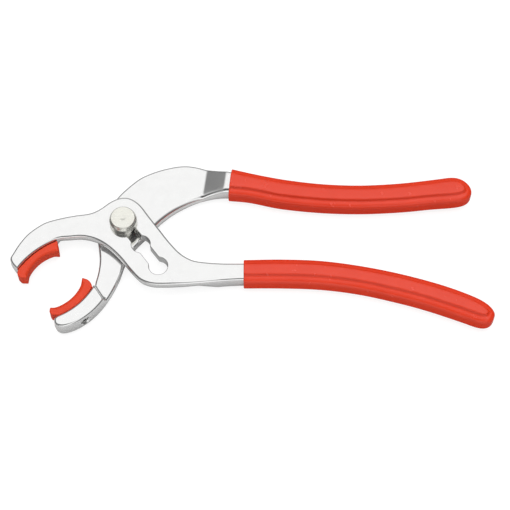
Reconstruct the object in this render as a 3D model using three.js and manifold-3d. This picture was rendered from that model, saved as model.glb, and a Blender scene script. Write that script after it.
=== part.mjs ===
// Slip-joint connector pliers, 250 mm, with replaceable plastic jaw inserts and dipped grips.
//
// Millimetres, +Z up. The pliers lie flat on z = 0 with +X from the jaws to the handles. The origin
// is the centre of the pivot bolt's rear end. The front half carries the upper jaw, the adjusting
// slot and the lower handle; the rear half carries the lower jaw, the pivot bolt and the upper
// handle. The two halves lap on the plane z = LAP.

import * as THREE from 'three';
import { mergeVertices } from 'three/addons/utils/BufferGeometryUtils.js';
import Module from 'manifold-3d';

const wasm = await Module();
wasm.setup();

const radians = THREE.MathUtils.degToRad;

// Driving dimensions.
const LAP = 7; // height of the plane between the halves, and the middle of the whole tool
const LAP_GAP = 0.15; // from that plane to each half's lapped face
const JOINT_HALF = 6; // from that plane to each half's outer face at the joint
const JAW_HALF = 5.3; // half thickness of the jaw tips
const SHANK_HALF = 4.5; // half thickness of the handles
const GRIP_HALF = 7; // half thickness of the dipped grips
const INSERT_HALF = 4; // half width of the jaw inserts

const FIT = 0.2; // gap between pieces that touch
const SMOOTH = 3; // straight pieces between two points of a spline
const ROUND = 28; // sides of a round piece

// Pivot and adjusting slot.
const SLOT_HEADING = -53.2; // degrees in plan from +X
const NOTCH_COUNT = 3;
const NOTCH_PITCH = 15.6;
const NOTCH_RADIUS = 4.9;
const WAIST_WIDTH = 6.3;
const NECK_RADIUS = 4.6;
const NECK_FLATS = 5.8; // across the two flats that pass the slot's waists
const BOLT_RADIUS = 4;
const THREAD_RADIUS = 3;
const HEAD_RADIUS = 7.15;
const HEAD_HEIGHT = 4.8;
const HEAD_EDGE = 1.6; // rounding of the head's rim
const HEAD_EDGE_STEPS = 4;
const HEAD_CHAMFER = 0.5; // under the head
const CENTRE_MARK = 1;
const CENTRE_MARK_DEPTH = 0.4;
const BOLT_FIT = 0.1; // radial gap of the bolt in the rear half and in its nut
const WASHER_THICKNESS = 0.6;
const WASHER_GAP = 0.1;
const WASHER_RADIUS = 6.6;
const NUT_RADIUS = 6;
const NUT_HEIGHT = 2.6;
const NUT_CHAMFER = 0.5;
const SPANNER_HOLE_RADIUS = 0.8;
const SPANNER_HOLE_DEPTH = 1.4;

// Insert screws.
const SCREW_HEAD_RADIUS = 2.1;
const SCREW_HEAD_HEIGHT = 1.8;
const SCREW_RADIUS = 1.4;
const SCREW_BITE = 2.8; // how far a screw reaches into its insert
const SCREW_SINK = 2.6; // depth of the counterbore in the jaw
const SCREW_SIDES = 16;
const HEX_KEY = 2.3; // across the corners of the screw's socket
const HEX_DEPTH = 1.1;
const HOLE_MARGIN = 0.3;
const INSERT_RIM = 1.2; // rounding of an insert's edges

// Grips.
const GRIP_RIM = 3.6; // rounding of a grip's edges

// The halves' outer faces at the joint, and the headings of the rear half's steps.
const FRONT_FACE = LAP + JOINT_HALF;
const REAR_FACE = LAP - JOINT_HALF;
const REACH = 260; // longer than the tool, for cutting prisms
const RAMP_HEADING = radians(-7.4); // up the ramp of the rear half's handle
const SHOULDER_HEADING = radians(213.2); // up the shoulder of its jaw

// Materials.
const chrome = () => new THREE.MeshStandardMaterial({ color: 0xe8e8e8, roughness: 0.15, metalness: 1 });
const nickel = () => new THREE.MeshStandardMaterial({ color: 0xefeee2, roughness: 0.3, metalness: 1 });
const steel = () => new THREE.MeshStandardMaterial({ color: 0xb8b8b4, roughness: 0.4, metalness: 1 });
const vinyl = () => new THREE.MeshStandardMaterial({ color: 0xdd3322, roughness: 0.25, metalness: 0 });
const nylon = () => new THREE.MeshStandardMaterial({ color: 0xe04830, roughness: 0.45, metalness: 0 });

// Solids: closed three.js geometry in, closed three.js geometry out.
function solidOf(geometry) {
  const plain = geometry.clone();
  plain.deleteAttribute('normal');
  plain.deleteAttribute('uv');
  const merged = mergeVertices(plain, 1e-4);
  return new wasm.Manifold(new wasm.Mesh({
    numProp: 3,
    vertProperties: Float32Array.from(merged.attributes.position.array),
    triVerts: Uint32Array.from(merged.index.array),
  }));
}

function geometryOf(solid) {
  const mesh = solid.getMesh();
  const geometry = new THREE.BufferGeometry();
  geometry.setAttribute('position', new THREE.BufferAttribute(mesh.vertProperties, 3));
  geometry.setIndex(new THREE.BufferAttribute(mesh.triVerts, 1));
  geometry.computeVertexNormals();
  return geometry;
}

function meshOf(name, geometry, material) {
  const mesh = new THREE.Mesh(geometry, material);
  mesh.name = name;
  return mesh;
}

const points = (list) => list.map(([x, y]) => new THREE.Vector2(x, y));

// A plan outline raised from low to high, with both rims rounded in rimSteps flats if rim is given.
function slab(shape, low, high, rim = 0, rimSteps = 1) {
  const geometry = new THREE.ExtrudeGeometry(shape, {
    depth: high - low - 2 * rim,
    bevelEnabled: rim > 0,
    bevelThickness: rim,
    bevelSize: rim,
    bevelOffset: -rim,
    bevelSegments: rimSteps,
    curveSegments: SMOOTH,
  });
  return solidOf(geometry.translate(0, 0, low + rim));
}

// A prism with a profile in (distance along heading, z), endless across the heading.
function prism(profile, heading) {
  const geometry = new THREE.ExtrudeGeometry(new THREE.Shape(points(profile)), {
    depth: 2 * REACH,
    bevelEnabled: false,
  });
  geometry.translate(0, 0, -REACH).rotateX(Math.PI / 2).rotateZ(heading);
  return solidOf(geometry);
}

function disc(radius, low, high, sides = ROUND) {
  const geometry = new THREE.CylinderGeometry(radius, radius, high - low, sides);
  return solidOf(geometry.rotateX(Math.PI / 2).translate(0, 0, (low + high) / 2));
}

function lathe(profile, sides = ROUND) {
  return new THREE.LatheGeometry(points(profile), sides);
}

// A smooth outline moved outward by a margin, for the socket that a handle sits in.
function grown(shape, margin) {
  const rim = shape.getPoints(SMOOTH);
  if (rim[0].distanceTo(rim[rim.length - 1]) < 1e-6) {
    rim.pop();
  }
  const side = THREE.ShapeUtils.isClockWise(rim) ? 1 : -1;
  const moved = rim.map((here, i) => {
    const before = rim[(i + rim.length - 1) % rim.length];
    const after = rim[(i + 1) % rim.length];
    const along = after.clone().sub(before).normalize();
    return new THREE.Vector2(here.x - side * along.y * margin, here.y + side * along.x * margin);
  });
  return new THREE.Shape(moved);
}

function arc(path, circle, from, to, inset = 0) {
  path.absarc(circle.x, circle.y, circle.radius - inset, radians(from), radians(to), from > to);
}

function spline(path, list) {
  path.splineThru(points(list));
}

// Jaw inserts. Each fills the space between its seat, a wide arc in the steel jaw, and the tighter
// arc that grips the work. far and near are the corners of its two ends.
const UPPER_INSERT = {
  face: { x: -30.6, y: -33.4, radius: 18.2, from: 97.5, to: 172 },
  far: [[-51.8, -30.7], [-53.7, -28.8]],
  seat: { x: -16.4, y: -49.25, radius: 43.7, from: 148.5, to: 114 },
  near: [],
  screwHeading: 128,
  back: 22.6, // along the screw, from the gripping arc's centre to the insert's back
  wall: 34, // and to the jaw's outer wall
};
const LOWER_INSERT = {
  face: { x: -40, y: -27.9, radius: 20, from: -78.3, to: -8 },
  far: [[-17.4, -31.7], [-15.9, -33.2]],
  seat: { x: -46.2, y: -20.15, radius: 35.3, from: -26.5, to: -65 },
  near: [[-35.1, -51.3], [-36.1, -49.7]],
  screwHeading: -49,
  back: 25.4,
  wall: 33.6,
};

function insertShape({ face, far, seat, near }) {
  const shape = new THREE.Shape();
  arc(shape, face, face.from, face.to);
  points(far).forEach((p) => shape.lineTo(p.x, p.y));
  arc(shape, seat, seat.from, seat.to, FIT);
  points(near).forEach((p) => shape.lineTo(p.x, p.y));
  return shape;
}

// Plan outlines of the two forged halves, handles included.
function frontOutline() {
  const { seat } = UPPER_INSERT;
  const shape = new THREE.Shape();
  arc(shape, seat, seat.to, seat.from);
  spline(shape, [
    [-56.3, -23.9], [-57.9, -20.4], [-56.6, -17.2], [-53.9, -12], [-50.3, -6.8], [-45.9, -2.7],
    [-40.4, 0.9], [-33.1, 3.2], [-25.4, 4.7], [-17.6, 5.8], [-12.5, 8.4], [-7.5, 12.4],
    [-2.3, 14.8], [2.9, 14.6], [8.3, 10.8], [13.7, 3.4], [19.1, -4], [24.5, -11.3],
    [29.7, -17.1], [34.9, -20.5], [40.1, -21.8], [50.3, -22.4], [62.2, -22.5], [81.4, -22.4],
    [102.3, -23.3], [123.2, -26.4], [143.8, -31.2], [164.4, -37.9], [183.5, -46.6],
  ]);
  spline(shape, [[185.9, -49.6], [182.5, -53.2]]);
  spline(shape, [
    [161.8, -45.1], [141.8, -39], [121.6, -34.6], [101.5, -32.1], [81.2, -31.7], [60.6, -32.4],
    [50.3, -33.1], [40, -34.4], [30, -35.4], [20, -35.7], [14.6, -35.2], [9.4, -32.8],
    [4, -26.9], [-1.4, -20], [-6.8, -14.6], [-12, -11], [-17.1, -9], [-22.3, -8.2], [-27.5, -8.6],
  ]);
  shape.closePath();
  return shape;
}

function rearOutline() {
  const { seat } = LOWER_INSERT;
  const shape = new THREE.Shape();
  arc(shape, seat, seat.from, seat.to);
  spline(shape, [
    [-33.1, -53.4], [-33.4, -55.8], [-32.2, -57.7], [-29.6, -58.7], [-26, -58.1], [-22, -56.4],
    [-18, -53.8], [-14, -50.4], [-10.5, -46.4], [-7.5, -42], [-4.4, -36.2], [-1.3, -28.8],
    [0.7, -21.8], [3.1, -15.8], [6.8, -10.3], [12.5, -3.9], [17.8, 2.6], [22, 6.7], [26.9, 10.5],
    [31.9, 13.4], [36.9, 15.7], [42, 17.3], [47.1, 18.3], [54, 18.7], [65, 18], [76.3, 16.1],
    [92.1, 13.9], [113.2, 12.3], [134.3, 12.5], [155.5, 14.4], [174, 17],
  ]);
  spline(shape, [[178, 21.2], [173, 25.2]]);
  spline(shape, [
    [155.1, 22.7], [134.1, 20.8], [113.2, 20.8], [92.6, 22.7], [77, 25.8], [66, 28.9], [53, 31.8],
    [45, 34.2], [39.1, 36.1], [33.7, 37.2], [28.4, 37.2], [23.1, 36.2], [17.8, 34.7],
    [12.5, 32.6], [7.3, 29.8], [2.2, 25.4], [-2.9, 20], [-6.8, 14.5], [-11.2, 7.6],
    [-13.6, 0.5], [-13.9, -5.5], [-13, -11.4], [-12.4, -17], [-12.4, -21.5], [-13, -26.7],
    [-14, -31.2],
  ]);
  shape.closePath();
  return shape;
}

// Plan outlines of the grips, drawn past their mouths, which are cut square afterwards.
function frontGripOutline() {
  const shape = new THREE.Shape();
  shape.moveTo(38, -20.3);
  spline(shape, [
    [62.8, -20.3], [81.4, -20], [102, -20.8], [122.5, -23.7], [143, -28.2], [163.5, -34.3],
    [178.5, -40.3], [185.6, -44.3], [189.4, -48.3], [190.1, -51.9], [187.6, -55.6],
    [182.8, -56.2], [175.5, -53.6], [158, -47.1], [142.6, -42.4], [122, -37.4], [101.7, -34.6],
    [81.2, -33.8], [62.8, -33.8],
  ]);
  shape.lineTo(38, -33.8);
  return shape;
}

function rearGripOutline() {
  const shape = new THREE.Shape();
  shape.moveTo(34, 39);
  spline(shape, [
    [57, 32.9], [71, 29.4], [86, 26.4], [104, 24.1], [123.7, 23.3], [144.8, 24.5],
    [163, 26.8], [172.5, 28], [178, 26.5], [181.5, 22.8], [182.3, 18.8], [180, 15.2],
    [174, 13.2], [160.8, 12], [144.8, 10.3], [123.7, 9.3], [102.6, 10], [81.6, 12.4],
    [66, 15.9], [55.3, 17.1],
  ]);
  shape.lineTo(34, 20);
  return shape;
}

// Everything above (side 1) or below (side -1) a line of [distance, height] points on a heading.
function beyond(line, heading, side) {
  const start = [-REACH, line[0][1]];
  const end = [REACH, line[line.length - 1][1]];
  return prism([start, ...line, end, [REACH, side * REACH], [-REACH, side * REACH]], heading);
}

// The adjusting slot: round notches on one line, joined by waists that only the flats can pass.
function slotTool() {
  const travel = (NOTCH_COUNT - 1) * NOTCH_PITCH;
  const high = FRONT_FACE + JOINT_HALF;
  const waist = new THREE.BoxGeometry(travel, WAIST_WIDTH, high);
  waist.translate(travel / 2, 0, high / 2);
  let tool = solidOf(waist);
  for (let notch = 0; notch < NOTCH_COUNT; notch += 1) {
    tool = tool.add(disc(NOTCH_RADIUS, 0, high).translate([notch * NOTCH_PITCH, 0, 0]));
  }
  return tool.rotate([0, 0, SLOT_HEADING]);
}

// Screw pieces lie along local +Y, which runs from the gripping circle's centre out of the jaw.
const alongScrew = ({ face, screwHeading }) => new THREE.Matrix4()
  .makeRotationZ(radians(screwHeading - 90))
  .setPosition(face.x, face.y, LAP);

function stem(radius, low, high, insert) {
  const geometry = new THREE.CylinderGeometry(radius, radius, high - low, SCREW_SIDES);
  geometry.translate(0, (low + high) / 2, 0);
  return solidOf(geometry.applyMatrix4(alongScrew(insert)));
}

function screwHoleInJaw(insert) {
  const head = insert.wall - SCREW_SINK;
  const hole = stem(SCREW_RADIUS + HOLE_MARGIN, insert.face.radius, head + 1, insert);
  return hole.add(stem(SCREW_HEAD_RADIUS + HOLE_MARGIN, head, insert.wall + 5, insert));
}

function insertMesh(name, insert) {
  const body = slab(insertShape(insert), LAP - INSERT_HALF, LAP + INSERT_HALF, INSERT_RIM, 2);
  const bite = insert.back - SCREW_BITE - HOLE_MARGIN;
  const hole = stem(SCREW_RADIUS + FIT / 2, bite, insert.back + 3, insert);
  return meshOf(name, geometryOf(body.subtract(hole)), nylon());
}

function screwMesh(name, insert) {
  const tip = insert.back - SCREW_BITE;
  const head = insert.wall - SCREW_SINK + FIT / 2;
  const top = head + SCREW_HEAD_HEIGHT;
  const body = solidOf(new THREE.LatheGeometry(points([
    [0, tip], [SCREW_RADIUS - 0.4, tip], [SCREW_RADIUS, tip + 0.6], [SCREW_RADIUS, head],
    [SCREW_HEAD_RADIUS, head], [SCREW_HEAD_RADIUS, top - 0.3], [SCREW_HEAD_RADIUS - 0.3, top], [0, top],
  ]), SCREW_SIDES));
  const key = new THREE.CylinderGeometry(HEX_KEY / 2, HEX_KEY / 2, 2 * HEX_DEPTH, 6);
  const mesh = meshOf(name, geometryOf(body.subtract(solidOf(key.translate(0, top, 0)))), steel());
  mesh.applyMatrix4(alongScrew(insert));
  return mesh;
}

// The front half: thick at the jaw and the handle, and half as thick where the rear half crosses it.
function frontHalf() {
  const lapFace = LAP + LAP_GAP;
  const lap = beyond([[39, lapFace], [49, LAP - SHANK_HALF]], 0, -1)
    .intersect(beyond([[33, lapFace], [35.5, LAP - JAW_HALF]], Math.PI, -1));
  const body = slab(frontOutline(), LAP - JAW_HALF, FRONT_FACE)
    .subtract(lap)
    .subtract(beyond([[28, FRONT_FACE], [50, LAP + SHANK_HALF]], 0, 1))
    .subtract(beyond([[18, FRONT_FACE], [34, LAP + JAW_HALF]], Math.PI, 1))
    .subtract(slotTool())
    .subtract(screwHoleInJaw(UPPER_INSERT));
  return meshOf('front_half', geometryOf(body), chrome());
}

// The rear half: the same idea turned over, with a bored and counterbored boss for the bolt.
function rearHalf() {
  const lapFace = LAP - LAP_GAP;
  const lap = beyond([[37.7, lapFace], [49.2, LAP + SHANK_HALF]], RAMP_HEADING, 1)
    .intersect(beyond([[29.9, lapFace], [31.2, LAP + JAW_HALF]], SHOULDER_HEADING, 1));
  const sunk = NUT_HEIGHT + FIT;
  const body = slab(rearOutline(), REAR_FACE, LAP + JAW_HALF)
    .subtract(lap)
    .subtract(beyond([[28, REAR_FACE], [50, LAP - SHANK_HALF]], 0, -1))
    .subtract(beyond([[14, REAR_FACE], [30, LAP - JAW_HALF]], SHOULDER_HEADING, -1))
    .subtract(disc(BOLT_RADIUS + BOLT_FIT, 0, LAP))
    .subtract(disc(NUT_RADIUS + FIT, 0, sunk))
    .subtract(screwHoleInJaw(LOWER_INSERT));
  return meshOf('rear_half', geometryOf(body), chrome());
}

// A dipped grip: a rounded sleeve with a closed end, a square mouth and a socket for the handle.
function gripMesh(name, outline, handle, mouthHeading, mouth) {
  const past = [[mouth, -REACH], [REACH, -REACH], [REACH, REACH], [mouth, REACH]];
  const socket = slab(
    grown(handle, FIT),
    LAP - SHANK_HALF - FIT,
    LAP + SHANK_HALF + FIT,
  );
  const body = slab(outline, LAP - GRIP_HALF, LAP + GRIP_HALF, GRIP_RIM, 3)
    .intersect(prism(past, mouthHeading))
    .subtract(socket);
  return meshOf(name, geometryOf(body), vinyl());
}

// The pivot bolt, from its rear end up: thread, shank in the rear half, flatted neck in the slot
// of the front half, and a domed head with a centre mark.
function pivotBolt() {
  const under = FRONT_FACE + WASHER_THICKNESS + 2 * WASHER_GAP;
  const top = under + HEAD_HEIGHT;
  const rim = [];
  for (let step = 0; step <= HEAD_EDGE_STEPS; step += 1) {
    const turn = (step / HEAD_EDGE_STEPS) * (Math.PI / 2);
    rim.push([
      HEAD_RADIUS - HEAD_EDGE * (1 - Math.cos(turn)),
      top - HEAD_EDGE * (1 - Math.sin(turn)),
    ]);
  }
  const head = lathe([
    [0, under], [HEAD_RADIUS - HEAD_CHAMFER, under], [HEAD_RADIUS, under + HEAD_CHAMFER],
    ...rim, [CENTRE_MARK, top], [0, top - CENTRE_MARK_DEPTH],
  ]);
  head.rotateX(Math.PI / 2);
  const flats = new THREE.BoxGeometry(4 * NECK_RADIUS, NECK_FLATS, 2 * FRONT_FACE);
  flats.translate(0, 0, FRONT_FACE).rotateZ(radians(SLOT_HEADING));
  const body = solidOf(head)
    .add(disc(NECK_RADIUS, LAP - LAP_GAP / 3, under + 1).intersect(solidOf(flats)))
    .add(disc(BOLT_RADIUS, NUT_HEIGHT + 1.5 * FIT, LAP + LAP_GAP / 3))
    .add(disc(THREAD_RADIUS, 0, LAP));
  return meshOf('pivot_bolt', geometryOf(body), nickel());
}

function pivotWasher() {
  const low = FRONT_FACE + WASHER_GAP;
  const high = low + WASHER_THICKNESS;
  const ring = lathe([
    [NECK_RADIUS + FIT, low], [WASHER_RADIUS, low], [WASHER_RADIUS, high],
    [NECK_RADIUS + FIT, high], [NECK_RADIUS + FIT, low],
  ]);
  return meshOf('pivot_washer', ring.rotateX(Math.PI / 2), steel());
}

// A round nut sunk in the rear half, with two holes for a pin spanner.
function pivotNut() {
  const bore = THREAD_RADIUS + BOLT_FIT;
  const ring = lathe([
    [bore, 0], [NUT_RADIUS - NUT_CHAMFER, 0], [NUT_RADIUS, NUT_CHAMFER],
    [NUT_RADIUS, NUT_HEIGHT], [bore, NUT_HEIGHT], [bore, 0],
  ]);
  const hole = disc(SPANNER_HOLE_RADIUS, -1, SPANNER_HOLE_DEPTH, 12);
  const middle = (THREAD_RADIUS + NUT_RADIUS) / 2;
  const body = [-middle, middle].reduce(
    (nut, x) => nut.subtract(hole.translate([x, 0, 0])),
    solidOf(ring.rotateX(Math.PI / 2)),
  );
  return meshOf('pivot_nut', geometryOf(body), steel());
}

// Assembly.
const frontGroup = new THREE.Group();
frontGroup.add(frontHalf());
frontGroup.add(insertMesh('upper_jaw_insert', UPPER_INSERT));
frontGroup.add(screwMesh('upper_insert_screw', UPPER_INSERT));
frontGroup.add(gripMesh('lower_grip', frontGripOutline(), frontOutline(), 0, 62.5));

const rearGroup = new THREE.Group();
rearGroup.add(rearHalf());
rearGroup.add(pivotBolt());
rearGroup.add(pivotNut());
rearGroup.add(insertMesh('lower_jaw_insert', LOWER_INSERT));
rearGroup.add(screwMesh('lower_insert_screw', LOWER_INSERT));
rearGroup.add(gripMesh('upper_grip', rearGripOutline(), rearOutline(), radians(-6.5), 52));

const pliers = new THREE.Group();
pliers.add(frontGroup, pivotWasher(), rearGroup);

export default pliers;
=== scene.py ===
"""Slip-joint connector pliers: the look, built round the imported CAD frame.

Lengths in this script are in millimetres in the frame's own axes, and become metres in
add_object(). Headings are in degrees.
"""

import math
from collections import namedtuple

import bmesh
import bpy
import numpy as np
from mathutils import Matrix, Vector
from mathutils.geometry import delaunay_2d_cdt


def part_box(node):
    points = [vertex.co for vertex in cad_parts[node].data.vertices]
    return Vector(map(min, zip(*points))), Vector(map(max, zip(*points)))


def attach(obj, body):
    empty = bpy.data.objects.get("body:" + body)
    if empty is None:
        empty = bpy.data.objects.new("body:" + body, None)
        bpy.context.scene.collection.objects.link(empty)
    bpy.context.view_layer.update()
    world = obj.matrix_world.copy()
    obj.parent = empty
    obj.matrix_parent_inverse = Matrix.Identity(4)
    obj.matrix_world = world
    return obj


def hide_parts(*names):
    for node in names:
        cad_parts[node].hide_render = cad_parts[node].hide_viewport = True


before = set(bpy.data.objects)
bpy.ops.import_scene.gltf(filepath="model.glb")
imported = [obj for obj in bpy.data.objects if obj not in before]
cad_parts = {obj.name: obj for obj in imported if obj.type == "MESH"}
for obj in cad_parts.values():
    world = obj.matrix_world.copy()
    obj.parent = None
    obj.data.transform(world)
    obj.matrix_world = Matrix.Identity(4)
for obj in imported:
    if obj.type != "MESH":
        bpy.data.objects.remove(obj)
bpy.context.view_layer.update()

MM = 0.001
scene = bpy.context.scene

FRONT = "front_body"
REAR = "rear_body"
SLIDE = "slide_body"

# ---------------------------------------------------------------- dimensions shared with the CAD
LAP = 7.0
FRONT_FACE = 13.0
REAR_FACE = 1.0
JAW_HALF = 5.3
SHANK_HALF = 4.5
RAMP_HEADING = -7.4
SHOULDER_HEADING = 213.2
SLOT_HEADING = -53.2

# ---------------------------------------------------------------- camera
AIM = Vector((68.35, -18.9, FRONT_FACE)) * MM
DISTANCE = 860 * MM
ELEVATION = math.radians(64)


def add_camera():
    data = bpy.data.cameras.new("camera")
    data.sensor_width = 36
    data.lens = 118
    data.clip_start = 0.01
    data.clip_end = 20
    cam = bpy.data.objects.new("camera", data)
    scene.collection.objects.link(cam)
    back = Vector((0, -math.cos(ELEVATION), math.sin(ELEVATION)))
    cam.location = AIM + DISTANCE * back
    cam.rotation_euler = (math.pi / 2 - ELEVATION, 0, 0)
    scene.camera = cam


add_camera()


# ---------------------------------------------------------------- plan outlines
CAD_WELD = 2e-6                         # metres, joins the CAD meshes' split corners
SHORTEST_EDGE = 0.02
STRAIGHT = math.radians(0.25)           # smaller turns are dropped
SPLINE_CORNER = math.radians(32)        # sharper turns break the spline
SPLINE_STEP = 0.1


def cut_loops(node, height):
    """Closed plan loops, in mm, where a level plane cuts a CAD node, the largest first."""
    bm = bmesh.new()
    bm.from_mesh(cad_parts[node].data)
    bmesh.ops.remove_doubles(bm, verts=bm.verts, dist=CAD_WELD)
    cut = bmesh.ops.bisect_plane(
        bm, geom=bm.verts[:] + bm.edges[:] + bm.faces[:], dist=1e-8,
        plane_co=(0, 0, height * MM), plane_no=(0, 0, 1),
    )
    links = {}
    for e in cut["geom_cut"]:
        if isinstance(e, bmesh.types.BMEdge):
            a, b = e.verts
            links.setdefault(a, []).append(b)
            links.setdefault(b, []).append(a)
    loops, done = [], set()
    for first in sorted(links, key=lambda v: tuple(v.co)):
        if first in done:
            continue
        loop, here = [], first
        while here is not None:
            done.add(here)
            loop.append((here.co.x / MM, here.co.y / MM))
            here = next((v for v in links[here] if v not in done), None)
        loops.append(np.array(loop))
    bm.free()
    loops = [loop if area(loop) > 0 else loop[::-1] for loop in loops if len(loop) > 3]
    return sorted(loops, key=area, reverse=True)


def heights_of(node):
    """A CAD node's lowest and highest z, in mm."""
    return [c.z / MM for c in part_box(node)]


def area(loop):
    x, y = loop.T
    return 0.5 * float(np.sum(x * np.roll(y, -1) - np.roll(x, -1) * y))


def turns(loop):
    """The signed turn at each point, in radians."""
    before = loop - np.roll(loop, 1, 0)
    after = np.roll(loop, -1, 0) - loop
    cross = before[:, 0] * after[:, 1] - before[:, 1] * after[:, 0]
    return np.arctan2(cross, (before * after).sum(1))


def refine(loop, step=0.4, sigma=0.8):
    """A smooth, evenly spaced loop through a faceted one. Sharp corners break the spline, and are
    only rounded by the smoothing that follows."""
    gap = np.linalg.norm(loop - np.roll(loop, 1, 0), axis=1)
    loop = loop[gap > SHORTEST_EDGE]
    loop = loop[np.abs(turns(loop)) > STRAIGHT]
    sharp = (np.abs(turns(loop)) > SPLINE_CORNER)[:, None]
    end = np.roll(loop, -1, 0)
    ahead = end - loop
    span = np.linalg.norm(ahead, axis=1)
    before_span = np.roll(span, 1)
    slope = ahead / span[:, None]
    before_slope = np.roll(slope, 1, 0)
    weight = (span / (span + before_span))[:, None]
    tangent = before_slope * weight + slope * (1 - weight)
    out = np.where(sharp, slope, tangent)
    into = np.roll(np.where(sharp, before_slope, tangent), -1, 0)
    dense = []
    for p, q, m, n, d in zip(loop, end, out, into, span):
        t = np.arange(0, 1, 1 / max(2, math.ceil(d / SPLINE_STEP)))[:, None]
        dense.append(
            (2 * t**3 - 3 * t**2 + 1) * p + (t**3 - 2 * t**2 + t) * m * d
            + (3 * t**2 - 2 * t**3) * q + (t**3 - t**2) * n * d
        )
    return smoothed(spaced(np.concatenate(dense), step), sigma / step)


def resampled(points, stations):
    """Points along an open path, at the distances that stations() gives for its length."""
    along = np.concatenate([[0], np.cumsum(np.linalg.norm(np.diff(points, axis=0), axis=1))])
    at = stations(along[-1])
    return np.stack([np.interp(at, along, points[:, i]) for i in (0, 1)], 1)


def spaced(loop, step):
    """Evenly spaced points round a closed loop."""
    def stations(length):
        count = max(12, round(length / step))
        return np.arange(count) * length / count

    return resampled(np.vstack([loop, loop[:1]]), stations)


def smoothed(values, sigma):
    """Values at the points of a closed loop, blurred with a sigma counted in points."""
    reach = math.ceil(3 * sigma)
    shifts = range(-reach, reach + 1)
    kernel = np.exp(-0.5 * (np.array(shifts) / sigma) ** 2)
    kernel /= kernel.sum()
    return sum(w * np.roll(values, i, 0) for w, i in zip(kernel, shifts))


def inward(loop):
    """Unit normals to the left of the loop, which is the inside of a counterclockwise one."""
    along = np.roll(loop, -1, 0) - np.roll(loop, 1, 0)
    along /= np.linalg.norm(along, axis=1)[:, None]
    return np.stack([-along[:, 1], along[:, 0]], 1)


def room(loop, side):
    """The radius of the largest circle inside the outline that touches it at each point."""
    gap = loop[None] - loop[:, None]
    ahead = np.einsum("ijk,ik->ij", gap, side)
    square = (gap**2).sum(2)
    with np.errstate(divide="ignore", invalid="ignore"):
        return np.where(ahead > 1e-6, square / (2 * ahead), np.inf).min(1)


def inside(points, loop):
    """Whether each point is inside a closed loop."""
    x, y = points[:, :1], points[:, 1:]
    ax, ay = loop.T
    bx, by = np.roll(loop, -1, 0).T
    crosses = (ay <= y) != (by <= y)
    with np.errstate(divide="ignore", invalid="ignore"):
        at = ax + (y - ay) * (bx - ax) / (by - ay)
    return (np.sum(crosses & (x < at), axis=1) % 2) == 1


# ---------------------------------------------------------------- heights
class Ramp:
    """Height against distance along a heading, with its corners rounded over +-soft mm."""

    SAMPLES = 15            # heights averaged over each rounded corner
    LINES = 7               # mesh lines across each rounded corner
    REACH = 70              # how far those lines go to either side
    STEP = 1.6              # between the points of a line

    def __init__(self, heading, stations, soft):
        turn = math.radians(heading)
        self.along = np.array([math.cos(turn), math.sin(turn)])
        self.across = np.array([-self.along[1], self.along[0]])
        self.at, self.height = np.array(stations, float).T
        self.soft = soft

    def __call__(self, points):
        distance = points @ self.along
        shifts = np.linspace(-self.soft, self.soft, self.SAMPLES)
        return np.mean([np.interp(distance + s, self.at, self.height) for s in shifts], axis=0)

    def rows(self):
        """Points along each rounded corner, to carry its shape in the mesh."""
        shifts = np.linspace(-self.soft, self.soft, self.LINES)
        steps = np.unique(np.round(np.concatenate([a + shifts for a in self.at]), 3))
        wide = np.arange(-self.REACH, self.REACH, self.STEP)
        return np.array([d * self.along + w * self.across for d in steps for w in wide])


class Surface:
    """The lowest (np.min) or highest (np.max) of several ramps."""

    def __init__(self, choose, *ramps):
        self.choose = choose
        self.ramps = ramps
        self.rows = np.concatenate([r.rows() for r in ramps])

    def __call__(self, points):
        return self.choose([r(points) for r in self.ramps], axis=0)


def level(z):
    """A flat surface."""
    return lambda points: np.full(len(points), z)


# ---------------------------------------------------------------- objects
WELD = 1e-7                             # metres
SHARP = 35                              # degrees, sharper edges are not shaded smooth


def add_object(name, verts, faces):
    """A closed mesh object from points in mm, with its faces turned outwards."""
    mesh = bpy.data.meshes.new(name)
    mesh.from_pydata([tuple(float(c) * MM for c in v) for v in verts], [], faces)
    bm = bmesh.new()
    bm.from_mesh(mesh)
    bmesh.ops.remove_doubles(bm, verts=bm.verts, dist=WELD)
    bmesh.ops.recalc_face_normals(bm, faces=bm.faces)
    bm.to_mesh(mesh)
    bm.free()
    mesh.validate()
    obj = bpy.data.objects.new(name, mesh)
    scene.collection.objects.link(obj)
    return obj


def cutter(verts, faces):
    return add_object("cutter", verts, faces)


def piece(name, verts, faces, body, node, material, cutters=(), sharp=SHARP):
    """A piece of the look, riding on a body and standing for a CAD node, with the cutters' solids
    cut out of it."""
    obj = add_object(name, verts, faces)
    obj.data.materials.append(material)
    shade(obj, sharp)
    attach(obj, body)
    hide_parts(node)
    if cutters:
        carve(obj, cutters)
        shade(obj, sharp)
    weighted = obj.modifiers.new("weighted", "WEIGHTED_NORMAL")
    weighted.keep_sharp = True
    weighted.weight = 80


def shade(obj, sharp):
    obj.data.shade_smooth()
    obj.data.set_sharp_from_angle(angle=math.radians(sharp))


def carve(obj, cutters):
    """Cuts the cutters' solids out of obj, and removes them."""
    for tool in cutters:
        modifier = obj.modifiers.new("cut", "BOOLEAN")
        modifier.operation = "DIFFERENCE"
        modifier.solver = "EXACT"
        modifier.object = tool
    bpy.context.view_layer.update()
    depsgraph = bpy.context.evaluated_depsgraph_get()
    cut = bpy.data.meshes.new_from_object(obj.evaluated_get(depsgraph))
    cut.name = obj.name
    obj.modifiers.clear()
    obj.data = cut
    for tool in cutters:
        bpy.data.objects.remove(tool)


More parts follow.
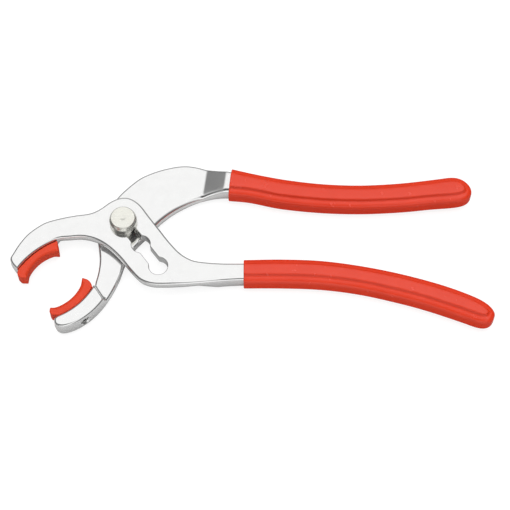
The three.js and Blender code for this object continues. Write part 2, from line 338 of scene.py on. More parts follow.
# ---------------------------------------------------------------- shapes
RIM_CLEARANCE = 0.2                     # mm2, a lid's own points stay this far from its rim
ROUND_SHARE = 0.92                      # most of the outline's room that a rounded edge takes
ROUND_LIMIT = 20
ROUND_BLEND = 2                         # outline points over which a rounding changes
MERGE = 1e-7                            # mm, joins a lid's points
ROUND_STEPS = 4                         # facets of a rounded corner in a turned profile


def rings_to_faces(rings, faces, wrap=True):
    """Quads between rings of vertex numbers."""
    for low, high in zip(rings, rings[1:]):
        n = len(low)
        for i in range(n if wrap else n - 1):
            j = (i + 1) % n
            faces.append((low[i], low[j], high[j], high[i]))


def lid(verts, faces, outer, holes, extra, height):
    """Triangles between an outer ring and hole rings, all of them numbers of verts, with extra
    plan points between them at the height that height() gives."""
    ring_ids = [outer, *holes]
    ids = [i for ring in ring_ids for i in ring]
    flat = [verts[i][:2] for i in ids]
    bound = [np.array([verts[i][:2] for i in ring]) for ring in ring_ids]

    def within(points):
        keep = inside(points, bound[0])
        for hole in bound[1:]:
            keep &= ~inside(points, hole)
        return keep

    edges, start = [], 0
    for ring in ring_ids:
        n = len(ring)
        edges += [(start + i, start + (i + 1) % n) for i in range(n)]
        start += n
    if len(extra):
        extra = extra[within(extra)]
        rim = np.concatenate(bound)
        clear = [np.min(np.sum((rim - p) ** 2, axis=1)) > RIM_CLEARANCE for p in extra]
        flat += [tuple(p) for p in extra[np.array(clear, bool)]]
    points, _, tris, origin, _, _ = delaunay_2d_cdt(
        [Vector(p) for p in flat], edges, [], 0, MERGE,
    )
    mapped = []
    for point, source in zip(points, origin):
        if source and source[0] < len(ids):
            mapped.append(ids[source[0]])
        else:
            at = np.array([[point.x, point.y]])
            mapped.append(len(verts))
            verts.append((point.x, point.y, float(height(at)[0])))
    middle = np.array([[points[i][:] for i in t] for t in tris]).mean(1)
    faces.extend(tuple(mapped[i] for i in t) for t, k in zip(tris, within(middle)) if k)


def plate(loops, top, bottom, radii, extra_top=(), extra_bottom=(), steps=6, draft=(0, 0)):
    """A plate with rounded edges: loops are the outline and any holes, top and bottom are
    functions of plan points, and radii holds (top radius, bottom radius) for each loop, each a
    number or one value for each point. Draft is how far the outer wall leans in towards the top
    and the bottom from its widest line, halfway up."""
    verts, faces, lids_top, lids_bottom = [], [], [], []
    for number, (loop, (r_top, r_bottom)) in enumerate(zip(loops, radii)):
        side = inward(loop) * (1 if number == 0 else -1)
        leans = draft if number == 0 else (0, 0)
        limit = np.minimum(ROUND_SHARE * room(loop, side), ROUND_LIMIT)
        rings = []
        for rounding, surface, sign, lean in (
            (r_top, top, 1, leans[0]), (r_bottom, bottom, -1, leans[1]),
        ):
            rounding = smoothed(np.minimum(rounding, limit), ROUND_BLEND)
            rounding = np.minimum(rounding, limit)
            made = []
            for k in range(steps + 1):
                turn = math.pi / 2 * k / steps
                inset = np.minimum(rounding * (1 - math.sin(turn)) + lean, limit)
                here = loop + side * inset[:, None]
                z = surface(here) - sign * rounding * (1 - math.cos(turn))
                made.append(list(range(len(verts), len(verts) + len(loop))))
                verts.extend((x, y, h) for (x, y), h in zip(here, z))
            rings.append(made)
        widest = []
        if any(leans):
            low, high = (np.array([verts[i][2] for i in r[-1]]) for r in rings)
            widest = [list(range(len(verts), len(verts) + len(loop)))]
            verts.extend((x, y, h) for (x, y), h in zip(loop, (low + high) / 2))
        rings_to_faces(rings[0] + widest + rings[1][::-1], faces)
        lids_top.append(rings[0][0])
        lids_bottom.append(rings[1][0])
    lid(verts, faces, lids_top[0], lids_top[1:], np.array(extra_top), top)
    lid(verts, faces, lids_bottom[0], lids_bottom[1:], np.array(extra_bottom), bottom)
    return verts, faces


def turned(profile, sides, centre=(0, 0)):
    """A solid of revolution about a vertical axis from (radius, z) points, which either start and
    end on the axis or come back to where they start."""
    verts, faces, rings = [], [], []
    for radius, z in profile:
        if radius < 1e-6:
            verts.append((centre[0], centre[1], z))
            rings.append([len(verts) - 1])
        else:
            start = len(verts)
            for i in range(sides):
                turn = 2 * math.pi * i / sides
                verts.append((centre[0] + radius * math.cos(turn),
                              centre[1] + radius * math.sin(turn), z))
            rings.append(list(range(start, start + sides)))
    for low, high in zip(rings, rings[1:]):
        for i in range(sides):
            j = (i + 1) % sides
            if len(low) == 1 and len(high) > 1:
                faces.append((low[0], high[j], high[i]))
            elif len(high) == 1 and len(low) > 1:
                faces.append((low[i], low[j], high[0]))
            elif len(low) > 1:
                faces.append((low[i], low[j], high[j], high[i]))
    return verts, faces


def rounded(a, b, c, radius, steps):
    """Points that round the corner b between a and c."""
    a, b, c = (np.array(p, float) for p in (a, b, c))
    u = (a - b) / np.linalg.norm(a - b)
    v = (c - b) / np.linalg.norm(c - b)
    half = math.acos(float(np.clip(u @ v, -1, 1))) / 2
    back = radius / math.tan(half)
    middle = b + (u + v) / np.linalg.norm(u + v) * radius / math.sin(half)
    start = b + u * back - middle
    end = b + v * back - middle
    full = math.acos(float(np.clip(start @ end / radius**2, -1, 1)))
    out = []
    for k in range(steps + 1):
        t = k / steps
        mix = (math.sin((1 - t) * full) * start + math.sin(t * full) * end) / math.sin(full)
        out.append(tuple(middle + mix))
    return out


def soften(profile, radii):
    """A turned profile with each corner off the axis rounded."""
    out = [profile[0]]
    for a, b, c, radius in zip(profile, profile[1:], profile[2:], radii):
        out += rounded(a, b, c, radius, ROUND_STEPS) if radius > 0 else [b]
    return out + [profile[-1]]


# ---------------------------------------------------------------- materials
POLISH_WAVE = 0.00006                   # metres, bump heights
POLISH_LINE = 0.000004
SKIN_WAVE = 0.00003
SKIN_PEBBLE = 0.000003


def map_range(tree, source, seen, wanted, interpolation="LINEAR"):
    """Maps the range `seen` of a value onto `wanted`, and holds it beyond the ends."""
    node = tree.nodes.new("ShaderNodeMapRange")
    node.interpolation_type = interpolation
    for name, value in zip(("From Min", "From Max", "To Min", "To Max"), (*seen, *wanted)):
        node.inputs[name].default_value = value
    tree.links.new(source, node.inputs["Value"])
    return node.outputs[0]


def combine(tree, operation, a, b):
    node = tree.nodes.new("ShaderNodeMath")
    node.operation = operation
    tree.links.new(a, node.inputs[0])
    tree.links.new(b, node.inputs[1])
    return node.outputs[0]


class Nodes:
    """A few words for writing a material's node tree."""

    def __init__(self, name):
        self.material = bpy.data.materials.new(name)
        self.material.use_nodes = True
        self.tree = self.material.node_tree
        self.tree.nodes.clear()
        self.out = self.new("ShaderNodeOutputMaterial")
        self.shader = self.new("ShaderNodeBsdfPrincipled")
        self.link(self.shader.outputs[0], self.out, "Surface")
        self.place = self.new("ShaderNodeTexCoord").outputs["Object"]

    def new(self, kind, **sockets):
        """A node, with constants for its sockets, where _ stands for a space."""
        node = self.tree.nodes.new(kind)
        for name, value in sockets.items():
            node.inputs[name.replace("_", " ")].default_value = value
        return node

    def link(self, source, node, socket):
        self.tree.links.new(source, node.inputs[socket])

    def noise(self, scale, detail, rough=0.5, stretch=(1, 1, 1)):
        """Noise of about `scale` grains to a metre, longer along an axis where stretch is low."""
        mapping = self.new("ShaderNodeMapping", Scale=stretch)
        self.link(self.place, mapping, "Vector")
        node = self.new("ShaderNodeTexNoise", Scale=scale, Detail=detail, Roughness=rough)
        self.link(mapping.outputs[0], node, "Vector")
        return node.outputs["Fac"]

    def spread(self, source, seen, wanted):
        return map_range(self.tree, source, seen, wanted)

    def mix(self, factor, a, b):
        node = self.tree.nodes.new("ShaderNodeMix")
        node.data_type = "RGBA"
        self.link(factor, node, "Factor")
        for socket, colour in ((6, a), (7, b)):
            node.inputs[socket].default_value = (*colour, 1)
        return node.outputs[2]

    def bump(self, height, distance, after=None):
        node = self.new("ShaderNodeBump", Distance=distance, Strength=1.0)
        self.link(height, node, "Height")
        if after is not None:
            self.link(after, node, "Normal")
        return node.outputs[0]


def metal(name, colour, worn, rough, grain, metallic=1.0, waves=1.0):
    """Polished or satin metal: faint polishing lines, soft unevenness, and handling marks."""
    n = Nodes(name)
    n.shader.inputs["Metallic"].default_value = metallic
    marks = n.spread(n.noise(160, detail=6, rough=0.65), (0.42, 0.66), (0, 1))
    n.link(n.mix(marks, colour, worn), n.shader, "Base Color")
    lines = n.noise(900, detail=3, rough=0.6, stretch=(0.06, 1, 1))
    patch = n.spread(n.noise(90, detail=3), (0.3, 0.7), (rough * 0.75, rough * 1.35))
    fine = n.spread(lines, (0.35, 0.7), (0, rough * 0.5))
    n.link(combine(n.tree, "ADD", patch, fine), n.shader, "Roughness")
    soft = n.bump(n.noise(45, detail=1), POLISH_WAVE * waves)
    n.link(n.bump(lines, POLISH_LINE * grain, after=soft), n.shader, "Normal")
    return n.material


def plastic(name, colour, dark, rough, pebble, specular, grazing):
    """Moulded or dipped plastic: slight colour drift, a soft uneven skin, and rubbed patches. The
    gloss goes from `specular` face on to `grazing` side on."""
    n = Nodes(name)
    facing = n.new("ShaderNodeLayerWeight", Blend=0.5).outputs["Facing"]
    gloss = n.spread(facing, (0.15, 0.55), (specular, grazing))
    n.link(gloss, n.shader, "Specular IOR Level")
    drift = n.spread(n.noise(70, detail=4, rough=0.55), (0.3, 0.7), (0, 1))
    n.link(n.mix(drift, colour, dark), n.shader, "Base Color")
    rub = n.spread(n.noise(220, detail=5, rough=0.6), (0.35, 0.7), (rough * 0.95, rough * 1.3))
    n.link(rub, n.shader, "Roughness")
    soft = n.bump(n.noise(110, detail=1), SKIN_WAVE * pebble)
    pebbles = n.noise(1100, detail=2)
    n.link(n.bump(pebbles, SKIN_PEBBLE * pebble, after=soft), n.shader, "Normal")
    return n.material


CHROME = metal("chrome_steel", (0.865, 0.865, 0.86), (0.84, 0.84, 0.835),
               rough=0.06, grain=0.7, metallic=0.94, waves=0.6)
NICKEL = metal("nickel_steel", (0.85, 0.845, 0.78), (0.81, 0.80, 0.73),
               rough=0.2, grain=0.3, metallic=0.95)
STEEL = metal("plain_steel", (0.56, 0.56, 0.55), (0.42, 0.415, 0.40), rough=0.28, grain=4.0)
VINYL = plastic("red_vinyl", (0.575, 0.034, 0.010), (0.545, 0.030, 0.008),
                rough=0.22, pebble=1.0, specular=0.45, grazing=0.03)
NYLON = plastic("red_nylon", (0.56, 0.042, 0.013), (0.52, 0.036, 0.010),
                rough=0.45, pebble=2.0, specular=0.3, grazing=0.08)

# ---------------------------------------------------------------- insert screws
# The gripping arc's centre and radius, and along the screw from there: the heading, the insert's
# back and the jaw's outer wall.
Screw = namedtuple("Screw", "centre arc heading back wall")
SCREWS = {
    "upper": Screw((-30.6, -33.4), 18.2, 128, 22.6, 34.0),
    "lower": Screw((-40.0, -27.9), 20.0, -49, 25.4, 33.6),
}
SCREW_SIDES = 48
SCREW_SINK = 2.6                        # from the outer wall to the head's seat
SCREW_BITE = 2.8                        # how far the tip goes into the insert
SCREW_RADIUS = 1.4
SCREW_TIP_RADIUS = 1.0
SCREW_TIP_HEIGHT = 0.6
SCREW_HEAD_RADIUS = 2.1
SCREW_HEAD_HEIGHT = 1.8
SCREW_HEAD_GAP = 0.1                    # between the head and its seat
SCREW_HOLE_RADIUS = 1.7
SEAT_RADIUS = 2.4
FLARE_START = 0.4                       # where the seat's bore opens out, under the outer wall
FLARE_END = 3.4                         # above the outer wall
FLARE_RADIUS = 6.2
KEY_RADIUS = 1.15                       # the hexagon socket, to its corners
KEY_FLOOR = 0.7                         # from the head's foot to the socket's floor
KEY_END = 3                             # the socket's cutter ends above the head


def along_screw(verts, which):
    """Points about the vertical axis, laid along a screw's axis."""
    screw = SCREWS[which]
    x, y = screw.centre
    turn = math.radians(screw.heading)
    c, s = math.cos(turn), math.sin(turn)
    return [(x + c * v[2] - s * v[0], y + s * v[2] + c * v[0], LAP + v[1]) for v in verts]


def screw_hole(which):
    screw = SCREWS[which]
    seat = screw.wall - SCREW_SINK
    flare = screw.wall + FLARE_END
    verts, faces = turned([
        (0, screw.arc), (SCREW_HOLE_RADIUS, screw.arc), (SCREW_HOLE_RADIUS, seat),
        (SEAT_RADIUS, seat), (SEAT_RADIUS, screw.wall - FLARE_START), (FLARE_RADIUS, flare),
        (0, flare),
    ], SCREW_SIDES)
    return cutter(along_screw(verts, which), faces)


def insert_screw(which, body):
    screw = SCREWS[which]
    tip = screw.back - SCREW_BITE
    head = screw.wall - SCREW_SINK + SCREW_HEAD_GAP
    key_floor = head + KEY_FLOOR
    key_end = head + KEY_END
    verts, faces = turned(soften([
        (0, tip), (SCREW_TIP_RADIUS, tip), (SCREW_RADIUS, tip + SCREW_TIP_HEIGHT),
        (SCREW_RADIUS, head), (SCREW_HEAD_RADIUS, head),
        (SCREW_HEAD_RADIUS, head + SCREW_HEAD_HEIGHT), (0, head + SCREW_HEAD_HEIGHT),
    ], [0, 0, 0, 0, 0.35]), SCREW_SIDES)
    key, key_faces = turned([(0, key_floor), (KEY_RADIUS, key_floor), (KEY_RADIUS, key_end),
                             (0, key_end)], 6)
    piece(f"{which}_insert_socket_screw", along_screw(verts, which), faces, body,
          f"{which}_insert_screw", STEEL,
          cutters=[cutter(along_screw(key, which), key_faces)])


# ---------------------------------------------------------------- the two forged halves
LAP_GAP = 0.15                          # from the lap plane to either half's meeting face
LONG_SOFT = 2.5                         # rounding of the long slopes
NUT_RECESS_RADIUS = 6.2
NUT_RECESS_DEPTH = 2.8
BELOW = -1                              # where upward cutters start, clear of the tool
SHANK_START = 12                        # where the rear half's shank starts along x
FACING_DOWN = 0.2                       # the inward normal's y, from where a wall is a lower one
REAR_EDGE = 1.3
REAR_EDGE_BELOW = 1.2
BY_THE_GRIP = (36, 48)                  # stretch of x where the lower edge gets rounder still
LOWER_EXTRA = (1.1, 1.5)                # added to REAR_EDGE before and after that stretch
LOWER_BLEND = 6                         # outline points


def half(node, height, top, bottom, body, edges, hole_edges, draft, cutters):
    """A forged half from its CAD outline at a height where the cut is clear of steps. Its edges
    and its hole's edges are each (top radius, bottom radius), where edges may be a function of
    the outline that gives the two. Draft is as in plate()."""
    outline, hole, *_ = cut_loops(node, height)
    outline = refine(outline, sigma=0.6)
    hole = refine(hole, step=0.3, sigma=0.4)
    if callable(edges):
        edges = edges(outline)
    verts, faces = plate([outline, hole], top, bottom, [edges, hole_edges], top.rows, bottom.rows,
                         draft=draft)
    piece(node + "_forging", verts, faces, body, node, CHROME, cutters)


def rear_edges(outline):
    """The shank's lower edge is more rounded than the rest, and most of all by the grip."""
    lower = (outline[:, 0] > SHANK_START) & (inward(outline)[:, 1] > FACING_DOWN)
    extra = np.interp(outline[:, 0], BY_THE_GRIP, LOWER_EXTRA)
    return REAR_EDGE + smoothed(lower * extra, LOWER_BLEND), REAR_EDGE_BELOW


half("front_half", 10.0,
     top=Surface(np.min,
                 Ramp(0, [(28, FRONT_FACE), (50, LAP + SHANK_HALF)], LONG_SOFT),
                 Ramp(180, [(18, FRONT_FACE), (34, LAP + JAW_HALF)], LONG_SOFT)),
     bottom=Surface(np.min,
                    Ramp(0, [(39, LAP + LAP_GAP), (49, LAP - SHANK_HALF)], 1.0),
                    Ramp(180, [(33, LAP + LAP_GAP), (35.5, LAP - JAW_HALF)], 0.6)),
     body=FRONT, edges=(1.25, 1.1), hole_edges=(0.4, 0.3), draft=(0.12, 0.55),
     cutters=[screw_hole("upper")])

nut_recess = cutter(*turned([(0, BELOW), (NUT_RECESS_RADIUS, BELOW),
                             (NUT_RECESS_RADIUS, NUT_RECESS_DEPTH), (0, NUT_RECESS_DEPTH)], 72))
half("rear_half", 4.0,
     top=Surface(np.max,
                 Ramp(RAMP_HEADING, [(37.7, LAP - LAP_GAP), (49.2, LAP + SHANK_HALF)], 0.9),
                 Ramp(SHOULDER_HEADING, [(29.9, LAP - LAP_GAP), (31.2, LAP + JAW_HALF)], 0.5)),
     bottom=Surface(np.max,
                    Ramp(0, [(28, REAR_FACE), (50, LAP - SHANK_HALF)], LONG_SOFT),
                    Ramp(SHOULDER_HEADING, [(14, REAR_FACE), (30, LAP - JAW_HALF)], LONG_SOFT)),
     body=REAR, edges=rear_edges, hole_edges=(0.3, 0.3), draft=(0.12, 0.35),
     cutters=[screw_hole("lower"), nut_recess])


# ---------------------------------------------------------------- jaw inserts
INSERT_CUT = 1.8                        # where the outline is taken, above the insert's foot
INSERT_EDGE = 0.6
BULLNOSE = 2.5                          # added to the edge radius along the gripping face
ON_THE_ARC = 0.25                       # points of the gripping face are this near its arc
ARC_BLEND = 4                           # outline points
BULLNOSE_BLEND = 5


def insert(which, body):
    """A moulded insert: a bullnose along the gripping face, small radii elsewhere."""
    node = f"{which}_jaw_insert"
    screw = SCREWS[which]
    low, high = heights_of(node)
    loop = refine(cut_loops(node, low + INSERT_CUT)[0], step=0.3, sigma=0.45)
    off = np.abs(np.linalg.norm(loop - np.array(screw.centre), axis=1) - screw.arc)
    gripping = smoothed((off < ON_THE_ARC).astype(float), ARC_BLEND)
    gripping = np.clip((gripping - 0.5) * 2, 0, 1)
    rounding = INSERT_EDGE + BULLNOSE * smoothed(gripping, BULLNOSE_BLEND)
    verts, faces = plate([loop], level(high), level(low), [(rounding, rounding)], steps=8)
    piece(node + "_moulding", verts, faces, body, node, NYLON)


insert("upper", FRONT)
insert("lower", REAR)
insert_screw("upper", FRONT)
insert_screw("lower", REAR)


# ---------------------------------------------------------------- grips
GRIP_TOP = 14.0
GRIP_CORNER = 4.3
GRIP_ROOM = 0.95                        # most of the outline's room that the corner takes
# Half the section's corner, from the top face to the side: how far in and how far down, as shares
# of the corner's size. The skin shows the steel's edge beneath it as a soft step.
GRIP_SECTION = resampled(np.array([
    (1.00, 0.000), (0.94, 0.012), (0.90, 0.06), (0.86, 0.15), (0.82, 0.255), (0.77, 0.345),
    (0.70, 0.395), (0.60, 0.415), (0.48, 0.435), (0.34, 0.475), (0.22, 0.54), (0.12, 0.635),
    (0.045, 0.77), (0.008, 0.90), (0.00, 1.00),
]), lambda length: np.linspace(0, length, 22))
GRIP_CROWN = 0.35                       # how much higher the middle of the top face is
CROWN_REACH = 9                         # from the wall to the top of the crown
GRIP_SHARP = 50
MOUTH_TURN = 1                          # radians, the mouth's corners turn by more than this
MOUTH_CUT = 2.0                         # the smoothed wall is used only this far from the mouth
MOUTH_STEP = 1.2                        # a point between there and the mouth
MOUTH_BLEND = 8                         # where the section becomes square to the wall
MOUTH_POINTS = 12
MOUTH_ROUND = 0.55
MOUTH_ROUND_STEPS = 5
MOUTH_BOW = 0.03                        # bends the mouth's edge, so no flat triangle spans it
# Plan points that carry the crown in the mesh, over both grips.
GRIP_GRID = np.stack(np.meshgrid(np.arange(40, 190, 1.5), np.arange(-75, 45, 1.5)), -1)
GRIP_GRID = GRIP_GRID.reshape(-1, 2)


def grip_wall(node):
    """A sleeve's outer wall as an open path from one side of its mouth to the other, a corner of
    the mouth, and the unit direction from the mouth into the sleeve."""
    wall = cut_loops(node, LAP)[0]
    corners = np.flatnonzero(turns(wall) > MOUTH_TURN)
    gaps = np.linalg.norm(wall[corners][:, None] - wall[corners][None], axis=2)
    i, j = sorted(corners[list(np.unravel_index(np.argmax(gaps), gaps.shape))])
    outer = max(wall[i:j + 1], np.vstack([wall[j:], wall[:i + 1]]), key=area)
    a, b = outer[0], outer[-1]
    loop = refine(outer)
    along_mouth = (b - a) / np.linalg.norm(b - a)
    ahead = np.array([-along_mouth[1], along_mouth[0]])
    if np.mean((loop - a) @ ahead) < 0:
        ahead = -ahead
    keep = (loop - a) @ ahead > MOUTH_CUT
    first = next(i for i in range(len(loop)) if keep[i] and not keep[i - 1])
    path = np.roll(loop, -first, 0)[:int(keep.sum())]
    ends = []
    for here, further in ((path[0], path[4]), (path[-1], path[-5])):
        back = (here - further) / ((further - here) @ ahead)
        ends.append([here + back * ((here - a) @ ahead - d) for d in (MOUTH_ROUND, MOUTH_STEP)])
    return np.vstack([ends[0], path, ends[1][::-1]]), a, ahead


def mouth_face(verts, faces, mouth, corner, across, ahead):
    """Closes a sleeve's mouth with a rounded rim and a flat face."""
    flat = np.array([((verts[i][:2] - corner) @ across, verts[i][2]) for i in mouth])
    turned_in = inward(flat) * (1 if area(flat) > 0 else -1)
    rings = [mouth]
    for k in range(1, MOUTH_ROUND_STEPS + 1):
        turn = math.pi / 2 * k / MOUTH_ROUND_STEPS
        inset = flat + turned_in * MOUTH_ROUND * (1 - math.cos(turn))
        base = corner - ahead * MOUTH_ROUND * math.sin(turn)
        rings.append(list(range(len(verts), len(verts) + len(mouth))))
        verts.extend((*(base + across * u), v) for u, v in inset)
    rings_to_faces(rings, faces)
    faces.append(tuple(rings[-1]))


def grip(node, body):
    """A dipped sleeve: rounded along its sides and end, and cut square at its mouth."""
    path, mouth_corner, ahead = grip_wall(node)
    side = inward(path)
    side[0], side[-1] = side[1], side[-2]
    limit = np.minimum(GRIP_CORNER, GRIP_ROOM * room(path, side))
    across = (path[-1] - path[0]) / np.linalg.norm(path[-1] - path[0])
    depth = (path - mouth_corner) @ ahead
    share = np.clip((depth - MOUTH_ROUND) / MOUTH_BLEND, 0, 1)[:, None]
    toward = np.where(np.arange(len(path))[:, None] < len(path) / 2, across, -across)
    side = toward * (1 - share) + side * share
    side /= np.linalg.norm(side, axis=1)[:, None]

    def swell(points):
        gap = np.min(np.linalg.norm(points[:, None] - path[None], axis=2), axis=1)
        return GRIP_CROWN * (1 - np.clip(1 - gap / CROWN_REACH, 0, 1) ** 2) - GRIP_CROWN

    def top(points):
        return GRIP_TOP + swell(points)

    def bottom(points):
        return 2 * LAP - GRIP_TOP - swell(points)

    verts, faces, columns, closings, lid_rings = [], [], [], [], []
    for surface, sign in ((top, 1), (bottom, -1)):
        made = []
        for inset, drop in GRIP_SECTION:
            here = path + side * (limit * inset)[:, None]
            z = surface(here) - sign * limit * drop
            made.append(list(range(len(verts), len(verts) + len(path))))
            verts.extend((x, y, h) for (x, y), h in zip(here, z))
        row = np.linspace(verts[made[0][-1]][:2], verts[made[0][0]][:2], MOUTH_POINTS)[1:-1]
        bow = np.sin(np.linspace(0, math.pi, MOUTH_POINTS))[1:-1]
        row = row - MOUTH_BOW * bow[:, None] * ahead
        closing = list(range(len(verts), len(verts) + len(row)))
        verts.extend((x, y, h) for (x, y), h in zip(row, surface(row)))
        columns.append(made)
        closings.append(closing)
        lid_rings.append(made[0] + closing)
    upper, lower = columns
    rings_to_faces(upper + lower[::-1], faces, wrap=False)
    for rim, surface in zip(lid_rings, (top, bottom)):
        lid(verts, faces, rim, [], GRIP_GRID, surface)
    mouth = (
        [r[0] for r in lower] + [r[0] for r in upper[::-1]] + closings[0][::-1]
        + [r[-1] for r in upper] + [r[-1] for r in lower[::-1]] + closings[1]
    )
    mouth_face(verts, faces, mouth, path[0], across, ahead)
    piece(node + "_sleeve", verts, faces, body, node, VINYL, sharp=GRIP_SHARP)


grip("upper_grip", REAR)
grip("lower_grip", FRONT)


# ---------------------------------------------------------------- pivot
TURNED_SIDES = 96
HEAD_UNDER = 13.8                       # the head's underside, over the washer
HEAD_SKIRT = FRONT_FACE + 0.15          # the foot of the rim that hides the washer
HEAD_BORE = 6.7                         # the rim's radius inside
HEAD_RIM = 7.15                         # and outside, at its foot
HEAD_SHOULDER = 7.1                     # where the wall turns in
HEAD_SLOPE = 2.2                        # from there up to the top
HEAD_FLAT = 6.3
MARK_RADIUS = 1.8                       # the centre mark
MARK_FLOOR = 0.6
MARK_DEPTH = 0.2
NECK_FOOT = 6.95
NECK_RADIUS = 4.6
NECK_FLAT = 2.9                         # from the axis to the flats, which lie along the slot
NECK_OVERLAP = 0.5                      # into the head
SHANK_TOP = 7.02
SHANK_RADIUS = 4.0
THREAD_SIDES = 72
THREAD_TOP = 2.95
THREAD_CREST = 3.0
THREAD_ROOT = 2.72
THREAD_PITCH = 0.5
THREAD_LAST = 2.7                       # no ring starts above this
THREAD_RISE = 0.1                       # from the start of a ring to its crest
THREAD_FALL = 0.35                      # and to its root
TIP_RADII = (2.5, 2.9)                  # the chamfer at the bolt's end
TIP_HEIGHT = 0.35
WASHER_RADII = (4.8, 6.6)
NUT_RADII = (3.1, 6.0)
SPANNER_X = 4.5                         # the nut's two spanner holes, at either side
SPANNER_RADIUS = 0.8
SPANNER_DEPTH = 1.2
SPANNER_TIP = 1.5                       # the depth with the drill's cone


def bolt_neck():
    """The neck between the head and the shank, with its two flats."""
    top = HEAD_UNDER + NECK_OVERLAP
    verts, faces = turned([(0, NECK_FOOT), (NECK_RADIUS, NECK_FOOT), (NECK_RADIUS, top), (0, top)],
                          TURNED_SIDES)
    turn = math.radians(SLOT_HEADING)
    c, s = math.cos(turn), math.sin(turn)
    flat = []
    for x, y, z in verts:
        along, over = x * c + y * s, -x * s + y * c
        over = max(-NECK_FLAT, min(NECK_FLAT, over))
        flat.append((along * c - over * s, along * s + over * c, z))
    return flat, faces


def bolt_shank(low):
    """The shank, with its thread as shallow rings."""
    z = low + TIP_HEIGHT
    profile = [(0, low), (TIP_RADII[0], low), (TIP_RADII[1], z)]
    while z < THREAD_LAST:
        profile += [(THREAD_CREST, z + THREAD_RISE), (THREAD_ROOT, z + THREAD_FALL)]
        z += THREAD_PITCH
    profile += [(THREAD_CREST, THREAD_TOP), (SHANK_RADIUS, THREAD_TOP), (SHANK_RADIUS, SHANK_TOP),
                (0, SHANK_TOP)]
    return turned(profile, THREAD_SIDES)


def pivot_bolt():
    low, high = heights_of("pivot_bolt")
    mark = high - MARK_DEPTH
    head = soften([
        (0, HEAD_UNDER), (HEAD_BORE, HEAD_UNDER), (HEAD_BORE, HEAD_SKIRT), (HEAD_RIM, HEAD_SKIRT),
        (HEAD_SHOULDER, high - HEAD_SLOPE), (HEAD_FLAT, high),
        (MARK_RADIUS, high), (MARK_FLOOR, mark), (0, mark),
    ], [0, 0, 0.12, 0.7, 0.5, 0.8, 0.3])
    for name, (verts, faces) in (
        ("pivot_bolt_turned", turned(head, TURNED_SIDES)),
        ("pivot_bolt_neck", bolt_neck()),
        ("pivot_bolt_shank", bolt_shank(low)),
    ):
        piece(name, verts, faces, REAR, "pivot_bolt", NICKEL)


def ring(name, node, radii, soft, body, cutters=()):
    """A steel ring as high as its CAD node, with rounded corners."""
    inner, outer = radii
    low, high = heights_of(node)
    corners = [(inner, low), (outer, low), (outer, high), (inner, high)]
    points = []
    for i, corner in enumerate(corners):
        points += rounded(corners[i - 1], corner, corners[(i + 1) % 4], soft, 3)
    verts, faces = turned(points + points[:1], TURNED_SIDES)
    piece(name, verts, faces, body, node, STEEL, cutters)


def spanner_hole(x):
    profile = [(0, BELOW), (SPANNER_RADIUS, BELOW), (SPANNER_RADIUS, SPANNER_DEPTH),
               (0, SPANNER_TIP)]
    return cutter(*turned(profile, 32, (x, 0)))


pivot_bolt()
ring("pivot_washer_ring", "pivot_washer", WASHER_RADII, 0.12, SLIDE)
ring("pivot_nut_ring", "pivot_nut", NUT_RADII, 0.3, REAR,
     [spanner_hole(-SPANNER_X), spanner_hole(SPANNER_X)])


# ---------------------------------------------------------------- floor and light
FLOOR_EDGE = 4                          # metres, from the middle to a side
FLOOR_DROP = 0.0002                     # metres, keeps the floor just clear of the tool
PAPER = 0.9                             # the floor in soft light
PAPER_MIRRORED = 0.42                   # the floor in mirror reflections
PAPER_SEEN = (0.2, 0.84)                # the floor's own colour and glow, for the camera


def add_floor():
    """White paper that looks darker in mirror reflections, and glows for the camera alone."""
    mesh = bpy.data.meshes.new("floor")
    edge = FLOOR_EDGE
    mesh.from_pydata([(-edge, -edge, 0), (edge, -edge, 0), (edge, edge, 0), (-edge, edge, 0)],
                     [], [(0, 1, 2, 3)])
    floor = bpy.data.objects.new("floor", mesh)
    floor.location = (0, 0, -FLOOR_DROP)
    scene.collection.objects.link(floor)
    material = bpy.data.materials.new("floor_paper")
    material.use_nodes = True
    tree = material.node_tree
    tree.nodes.clear()
    out = tree.nodes.new("ShaderNodeOutputMaterial")
    path = tree.nodes.new("ShaderNodeLightPath")

    def lit(albedo, glow=0.0):
        diffuse = tree.nodes.new("ShaderNodeBsdfDiffuse")
        diffuse.inputs["Color"].default_value = (albedo, albedo, albedo, 1)
        emission = tree.nodes.new("ShaderNodeEmission")
        emission.inputs["Strength"].default_value = glow
        both = tree.nodes.new("ShaderNodeAddShader")
        tree.links.new(diffuse.outputs[0], both.inputs[0])
        tree.links.new(emission.outputs[0], both.inputs[1])
        return both.outputs[0]

    def choose(ray, no, yes):
        node = tree.nodes.new("ShaderNodeMixShader")
        tree.links.new(path.outputs[ray], node.inputs[0])
        tree.links.new(no, node.inputs[1])
        tree.links.new(yes, node.inputs[2])
        return node.outputs[0]

    bounced = choose("Is Glossy Ray", lit(PAPER), lit(PAPER_MIRRORED))
    seen = choose("Is Camera Ray", bounced, lit(*PAPER_SEEN))
    tree.links.new(seen, out.inputs["Surface"])
    mesh.materials.append(material)


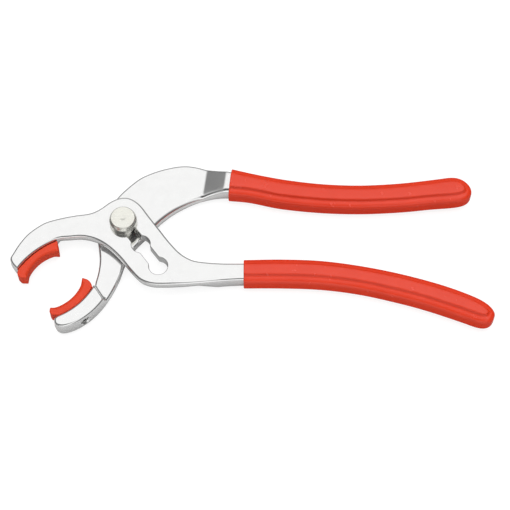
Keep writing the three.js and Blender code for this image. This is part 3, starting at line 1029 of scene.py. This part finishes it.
DOME_STRENGTH = 1.045
PATCH_TURN = -0.22                      # sideways offset of the dark patch from the camera
PATCH_ANGLES = (34, 15)                 # its edge, and where it is darkest
PATCH_DARK = 0.05


def add_world():
    """A studio dome: bright overhead and to the front, dark low at the back and to the left and
    right, and with a dark patch where the photographer's camera would hang."""
    world = bpy.data.worlds.new("studio")
    scene.world = world
    world.use_nodes = True
    tree = world.node_tree
    tree.nodes.clear()
    out = tree.nodes.new("ShaderNodeOutputWorld")
    dome = tree.nodes.new("ShaderNodeBackground")
    place = tree.nodes.new("ShaderNodeTexCoord").outputs["Generated"]

    def fade(direction, seen, wanted):
        """Light against how far a ray points along a direction."""
        dot = tree.nodes.new("ShaderNodeVectorMath")
        dot.operation = "DOT_PRODUCT"
        dot.inputs[1].default_value = direction
        tree.links.new(place, dot.inputs[0])
        return map_range(tree, dot.outputs["Value"], seen, wanted, "SMOOTHSTEP")

    towards = Vector((PATCH_TURN, -math.cos(ELEVATION), math.sin(ELEVATION))).normalized()
    edge, core = (math.cos(math.radians(angle)) for angle in PATCH_ANGLES)
    horizon = fade((0, -0.6, 1), (-0.1, 0.58), (0.2, 1.0))
    left = fade((1, 0, 0.2), (-0.66, -0.15), (0.08, 1.0))
    right = fade((-1, 0, 0.2), (-0.6, -0.15), (0.12, 1.0))
    patch = fade(towards, (edge, core), (1.0, PATCH_DARK))
    sides = combine(tree, "MULTIPLY", horizon, left)
    rest = combine(tree, "MULTIPLY", right, patch)
    tree.links.new(combine(tree, "MULTIPLY", sides, rest), dome.inputs["Color"])
    dome.inputs["Strength"].default_value = DOME_STRENGTH
    tree.links.new(dome.outputs[0], out.inputs[0])


def add_overhead():
    """A broad soft light straight above, for the matt and dipped surfaces."""
    data = bpy.data.lights.new("overhead", "SUN")
    data.energy = 3.0
    data.angle = math.radians(70)
    light = bpy.data.objects.new("overhead", data)
    light.location = (0, 0, 0.5)
    light.visible_glossy = False
    scene.collection.objects.link(light)


add_overhead()
add_floor()
add_world()
scene.view_settings.view_transform = "Standard"
